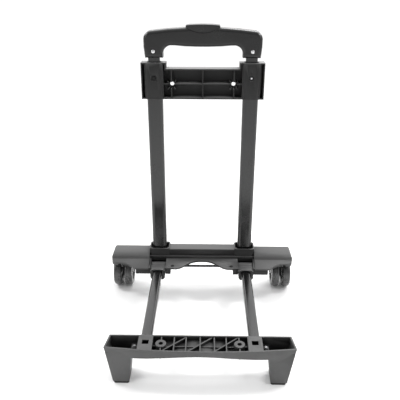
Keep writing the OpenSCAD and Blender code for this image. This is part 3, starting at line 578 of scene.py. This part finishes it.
RIVET_R, RIVET_HOLE_R, RIVET_DOME = 2.6, 1.95, 1.05
RIVET_FACE = GRIP_HALF_D + 0.15
AXIS_R = 0.02  # a turned piece stops this short of its axis
for side, k in SIDES.items():
    dome = arc(RIVET_FACE, 0.0, RIVET_DOME, RIVET_R, 90, 8, 6)
    profile = [(0.2, RIVET_HOLE_R), (RIVET_FACE, RIVET_HOLE_R)] + dome
    profile += [(RIVET_FACE + RIVET_DOME, AXIS_R), (0.2, AXIS_R)]
    for face, name in ((-1, "front"), (1, "back")):
        centre = Vector((UPRIGHTS_X * k, UPRIGHTS_Y, RIVET_Z))
        rivet = lathe(f"{side}_rivet_{name}", profile, centre, Vector((0, face, 0)), 32)
        adopt(rivet, "handle", "steel")
        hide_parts("handle_rivets")


# the crossbar's latch screws: a dark one on the left, a steel-tipped one on the right
LATCH = {"left": ("dark_plastic", 0.0), "right": ("dark_steel", 1.1)}
LATCH_Z, LATCH_R = 353, 2.4
for side, k in SIDES.items():
    tone, pip = LATCH[side]
    centre, forward = Vector((UPRIGHTS_X * k, UPRIGHTS_Y, LATCH_Z)), Vector((0, -1, 0))
    shank = [(6.9, AXIS_R), (6.9, 1.5), (8.95, 1.5)]
    head = [(8.95, LATCH_R), (9.9, LATCH_R), (10.1, LATCH_R - 0.3), (10.1, AXIS_R)]
    screw = lathe(f"{side}_latch_screw", shank + head, centre, forward, 32)
    adopt(screw, "frame", tone)
    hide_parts("crossbar_screws")
    if pip:
        dome = [(9.5, AXIS_R), (9.5, pip), (10.2, pip), (10.35, pip * 0.6), (10.4, AXIS_R)]
        adopt(lathe(f"{side}_latch_pip", dome, centre, forward, 24), "frame", "steel")


# a small moulding nub on the bar's rear edge, left of the left tube
NUB_X, NUB_BEHIND, NUB_SUNK = -102.3, 1.2, 0.2
bar_back, bar_top = box_of("front_bar")[1][1:]
nub = lathe(
    "rear_nub", [(0, AXIS_R), (0, 0.9), (0.5, 0.8), (0.8, 0.4), (0.9, AXIS_R)],
    Vector((NUB_X, bar_back - NUB_BEHIND, bar_top - NUB_SUNK)), Vector((0, 0, 1)), 20,
)
adopt(nub, "platform", "bar_plastic")


# ---------------------------------------------------------------- the spring under the button
def spring(name, centre, radius, wire, low, high, turns, steps=28, sides=10):
    """A wire of the given radius wound about a vertical line through centre, from low to high, all in mm."""
    bm = bmesh.new()
    total = turns * steps
    rings = []
    for i in range(total + 1):
        t = i / total
        a = 2 * math.pi * turns * t
        out = Vector((math.cos(a), math.sin(a), 0))
        middle = Vector(centre) + out * radius + Vector((0, 0, low + wire + (high - low - 2 * wire) * t))
        ring = []
        for j in range(sides):
            b = 2 * math.pi * j / sides
            around = out * wire * math.cos(b) + Vector((0, 0, wire * math.sin(b)))
            ring.append(bm.verts.new((middle + around) * MM))
        rings.append(ring)
    for here, there in zip(rings, rings[1:]):
        for j in range(sides):
            k = (j + 1) % sides
            bm.faces.new((here[j], here[k], there[k], there[j]))
    bm.faces.new(list(reversed(rings[0])))
    bm.faces.new(rings[-1])
    bmesh.ops.recalc_face_normals(bm, faces=bm.faces)
    return from_bmesh(name, bm)


WIRE_R, COIL_GAP = 0.5, 0.1  # the gap keeps the coil inside the CAD's sleeve
coil = spring(
    "button_coil", (0, UPRIGHTS_Y, 0), SPRING_R - WIRE_R - COIL_GAP, WIRE_R,
    SPRING_LOW + COIL_GAP, SPRING_HIGH - COIL_GAP, turns=5,
)
adopt(coil, "handle", "steel")
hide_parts("button_spring")
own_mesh(coil)


# ---------------------------------------------------------------- studio
FLOOR_HALF = 60  # metres, so that its edge lies under the horizon
FLOOR_DROP = 0.2 * MM
floor_mesh = bpy.data.meshes.new("floor")
floor_bm = bmesh.new()
bmesh.ops.create_grid(floor_bm, x_segments=1, y_segments=1, size=FLOOR_HALF)
floor_bm.to_mesh(floor_mesh)
floor_bm.free()
floor = link("floor", floor_mesh)
floor.location = (0, 0, -FLOOR_DROP)
g = Graph("floor_paper")
floor_tone = g.mix(g.map(g.noise(3, 3, 0.5), 0.3, 0.7, 0, 1), grey(0.95), grey(0.97))
floor_mesh.materials.append(g.finish(floor_tone, g.map(g.noise(400, 2), 0.3, 0.7, 0.85, 0.95)))

world = bpy.data.worlds.new("studio")
bpy.context.scene.world = world
world.use_nodes = True
sky = world.node_tree
sky.nodes.clear()


def sky_node(kind, **props):
    node = sky.nodes.new(kind)
    for key, value in props.items():
        setattr(node, key, value)
    return node


def sky_range(source, low, high, new_low, new_high):
    node = sky_node("ShaderNodeMapRange", interpolation_type="SMOOTHSTEP")
    for socket, value in zip(RANGE_SOCKETS, (low, high, new_low, new_high)):
        if isinstance(value, bpy.types.NodeSocket):
            sky.links.new(value, node.inputs[socket])
        else:
            node.inputs[socket].default_value = value
    sky.links.new(source, node.inputs["Value"])
    return node.outputs[0]


# a big softbox behind and above the cart, a dim room in front, and an even pale horizon
HORIZON, ROOM, SOFTBOX = 1.0, 0.42, 2.0
split = sky_node("ShaderNodeSeparateXYZ")
sky.links.new(sky_node("ShaderNodeTexCoord").outputs["Generated"], split.inputs[0])
overhead = sky_range(split.outputs["Y"], -0.35, 0.65, ROOM, SOFTBOX)
light = sky_range(split.outputs["Z"], 0.12, 0.32, HORIZON, overhead)
background = sky_node("ShaderNodeBackground")
background.inputs["Color"].default_value = (1, 1, 1, 1)
sky.links.new(light, background.inputs["Strength"])
sky.links.new(background.outputs[0], sky_node("ShaderNodeOutputWorld").inputs[0])


def area_light(name, at, target, size, power):
    """A soft rectangular lamp that looks at target, in metres and watts, and stays out of the picture."""
    lamp = bpy.data.lights.new(name, "AREA")
    lamp.shape = "RECTANGLE"
    lamp.size, lamp.size_y = size
    lamp.energy = power
    obj = bpy.data.objects.new(name, lamp)
    bpy.context.scene.collection.objects.link(obj)
    obj.location = at
    obj.rotation_euler = (Vector(target) - Vector(at)).to_track_quat("-Z", "Y").to_euler()
    obj.visible_camera = False


area_light("left_window", (-0.9, -0.5, 0.9), (0, 0, 0.15), (0.25, 0.9), 3)
area_light("right_window", (0.9, -0.4, 1.0), (0, 0, 0.2), (0.25, 0.9), 4)
area_light("rim", (0.35, 0.75, 1.15), (0.05, 0.1, 0.4), (0.5, 0.25), 5)
area_light("left_kicker", (-0.95, 0.34, 1.14), (-0.08, 0.1, 0.41), (0.16, 0.3), 6)
area_light("right_kicker", (0.95, 0.34, 1.14), (0.08, 0.1, 0.41), (0.16, 0.3), 7)

# ---------------------------------------------------------------- camera
PITCH, YAW, ROLL = 23.77, -0.78, 0.15  # degrees: down, to the right, and about the line of sight
EYE = Vector((6.51, UPRIGHTS_Y - 742.9, 484.9)) * MM
SENSOR, FOCAL_LENGTH = 36, 45.405  # mm
pitch, yaw, roll = (math.radians(v) for v in (PITCH, YAW, ROLL))
ahead = Vector((math.sin(yaw) * math.cos(pitch), math.cos(yaw) * math.cos(pitch), -math.sin(pitch)))
level = Vector((math.cos(yaw), -math.sin(yaw), 0))
upward = level.cross(ahead)
right = level * math.cos(roll) + upward * math.sin(roll)
up = right.cross(ahead)
lens = bpy.data.cameras.new("camera")
lens.sensor_width = SENSOR
lens.lens = FOCAL_LENGTH
camera = bpy.data.objects.new("camera", lens)
bpy.context.scene.collection.objects.link(camera)
camera.matrix_world = Matrix.Translation(EYE) @ Matrix((right, up, -ahead)).transposed().to_4x4()
bpy.context.scene.camera = camera
bpy.context.scene.view_settings.view_transform = "Standard"
